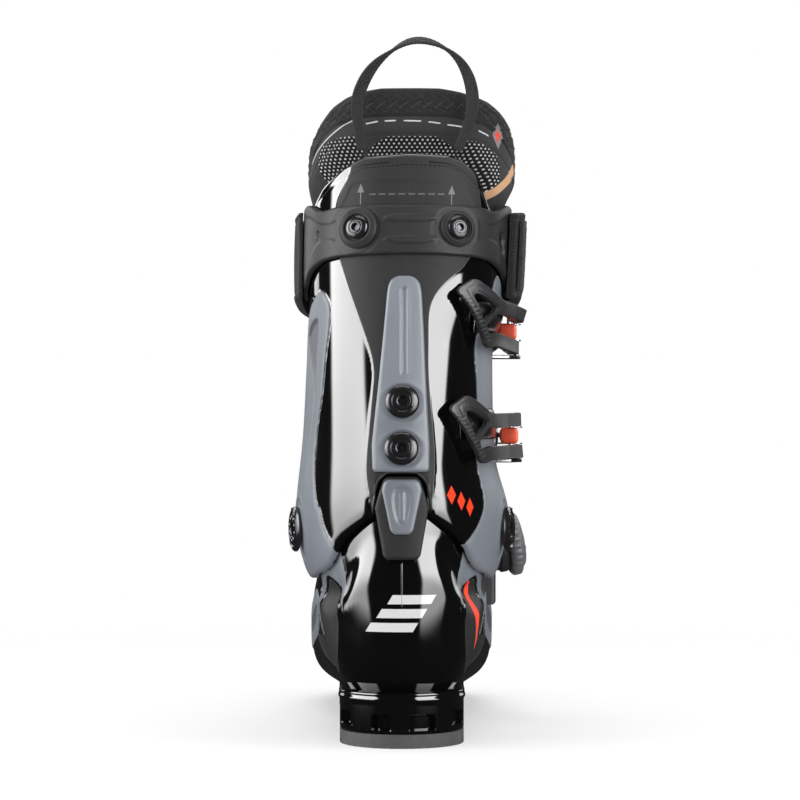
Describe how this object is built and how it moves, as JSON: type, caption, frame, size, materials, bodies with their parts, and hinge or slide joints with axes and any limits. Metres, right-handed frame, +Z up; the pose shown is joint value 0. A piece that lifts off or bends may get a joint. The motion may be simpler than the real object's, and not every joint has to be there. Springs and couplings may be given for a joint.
{
  "type": "alpine ski boot",
  "caption": "Right-foot alpine ski boot: overlap lower shell with dial closure, hinged cuff with buckles, removable liner, power strap and rubber walking soles.",
  "frame": {"origin": "middle of the underside of the heel pad, on the plane the boot stands on", "axes": "+Z up, +Y towards the toe, +X towards the outer side of the right foot"},
  "size_m": [0.1431, 0.305, 0.3976],
  "materials": {
    "shell_gloss": "polished black polyurethane",
    "panel_dark": "fine matte texture, near black",
    "panel_grey": "soft matte blue-grey overmould",
    "knob_grey": "matte grey grip",
    "barrel_red": "satin orange red",
    "buckle_alloy": "black anodised, satin",
    "bolt_black": "black, polished edges",
    "steel": "bright",
    "liner_fabric": "black fabric over foam",
    "webbing": "woven black webbing",
    "sole_rubber": "matte grey rubber",
    "insole_board": "moulded board"
  },
  "bodies": {
    "lower_boot": {"lower_shell": "shell_gloss", "heel_sole_pad": "sole_rubber", "toe_sole_pad": "sole_rubber", "boot_board": "insole_board", "footbed": "insole_board", "liner_foot": "liner_fabric", "heel_spine_plate": "panel_dark", "heel_spine_tab": "panel_grey", "dial_housing": "panel_dark", "lace": "steel", "medial_pivot_bolt": "bolt_black", "medial_pivot_nut": "steel", "lateral_pivot_bolt": "bolt_black", "lateral_pivot_nut": "steel", "heel_screw_inner": "steel", "heel_screw_outer": "steel", "heel_screw_rear": "steel", "lace_guide_lateral_mid": "panel_dark", "lace_guide_medial_front": "panel_dark", "lace_guide_medial_rear": "panel_dark", "toe_screw_inner_front": "steel", "toe_screw_inner_rear": "steel", "toe_screw_outer_front": "steel", "toe_screw_outer_rear": "steel"},
    "upper_boot": {"cuff": "shell_gloss", "spine_plate": "panel_grey", "spine_bolt_upper": "bolt_black", "spine_bolt_lower": "bolt_black", "spine_nut_upper": "panel_dark", "spine_nut_lower": "panel_dark", "strap_yoke": "panel_dark", "strap_washer_medial": "panel_dark", "strap_washer_lateral": "panel_dark", "strap_screw_medial": "bolt_black", "strap_screw_lateral": "bolt_black", "power_strap": "webbing", "liner_shaft": "liner_fabric", "liner_tongue": "liner_fabric", "upper_buckle_base": "buckle_alloy", "lower_buckle_base": "buckle_alloy", "upper_buckle_ladder": "buckle_alloy", "lower_buckle_ladder": "buckle_alloy"},
    "medial_disc": {"medial_canting_disc": "bolt_black"},
    "lateral_disc": {"lateral_canting_disc": "bolt_black"},
    "upper_lever": {"upper_buckle_lever": "buckle_alloy", "upper_buckle_cross_pin": "steel"},
    "upper_barrel": {"upper_buckle_barrel": "barrel_red"},
    "upper_bail": {"upper_buckle_bail": "steel"},
    "lower_lever": {"lower_buckle_lever": "buckle_alloy", "lower_buckle_cross_pin": "steel"},
    "lower_barrel": {"lower_buckle_barrel": "barrel_red"},
    "lower_bail": {"lower_buckle_bail": "steel"},
    "dial_core": {"dial_hub": "panel_dark"},
    "dial_grip": {"dial_knob": "knob_grey"},
    "loop": {"pull_loop": "webbing"}
  },
  "joints": [
    {"name": "cuff_flex", "type": "hinge", "parent": "lower_boot", "child": "upper_boot", "pos_m": [0, 0.035, 0.116], "axis": [-1, 0, 0], "range_deg": [0, 8]},
    {"name": "medial_canting", "type": "hinge", "parent": "lower_boot", "child": "medial_disc", "pos_m": [-0.0599, 0.035, 0.116], "axis": [-0.9703, -0.2419, 0], "range_deg": [-30, 30]},
    {"name": "lateral_canting", "type": "hinge", "parent": "lower_boot", "child": "lateral_disc", "pos_m": [0.0599, 0.035, 0.116], "axis": [0.9703, -0.2419, 0], "range_deg": [-30, 30]},
    {"name": "upper_lever_open", "type": "hinge", "parent": "upper_boot", "child": "upper_lever", "pos_m": [0.067, 0.067, 0.2295], "axis": [0, 0, 1], "range_deg": [0, 150]},
    {"name": "upper_barrel_swing", "type": "hinge", "parent": "upper_lever", "child": "upper_barrel", "pos_m": [0.0624, 0.054, 0.2295], "axis": [0, 0, 1], "range_deg": [-150, 0]},
    {"name": "upper_bail_adjust", "type": "slide", "parent": "upper_barrel", "child": "upper_bail", "axis": [0, 1, 0], "range_m": [0, 0.005]},
    {"name": "lower_lever_open", "type": "hinge", "parent": "upper_boot", "child": "lower_lever", "pos_m": [0.0675, 0.06, 0.1695], "axis": [0, 0, 1], "range_deg": [0, 150]},
    {"name": "lower_barrel_swing", "type": "hinge", "parent": "lower_lever", "child": "lower_barrel", "pos_m": [0.063, 0.047, 0.1695], "axis": [0, 0, 1], "range_deg": [-150, 0]},
    {"name": "lower_bail_adjust", "type": "slide", "parent": "lower_barrel", "child": "lower_bail", "axis": [0, 1, 0], "range_m": [0, 0.005]},
    {"name": "dial_pull", "type": "slide", "parent": "lower_boot", "child": "dial_core", "axis": [0.9731, 0.1301, 0.1902], "range_m": [0, 0.003]},
    {"name": "dial_turn", "type": "hinge", "parent": "dial_core", "child": "dial_grip", "pos_m": [0.0685, 0.127, 0.105], "axis": [0.9731, 0.1301, 0.1902], "continuous": true},
    {"name": "loop_fold", "type": "hinge", "parent": "upper_boot", "child": "loop", "pos_m": [0, 0.0038, 0.3295], "axis": [1, 0, 0], "range_deg": [0, 80]}
  ],
  "couplings": [
    {"joint": "upper_barrel_swing", "follows": "upper_lever_open", "ratio": -1},
    {"joint": "lower_barrel_swing", "follows": "lower_lever_open", "ratio": -1}
  ]
}
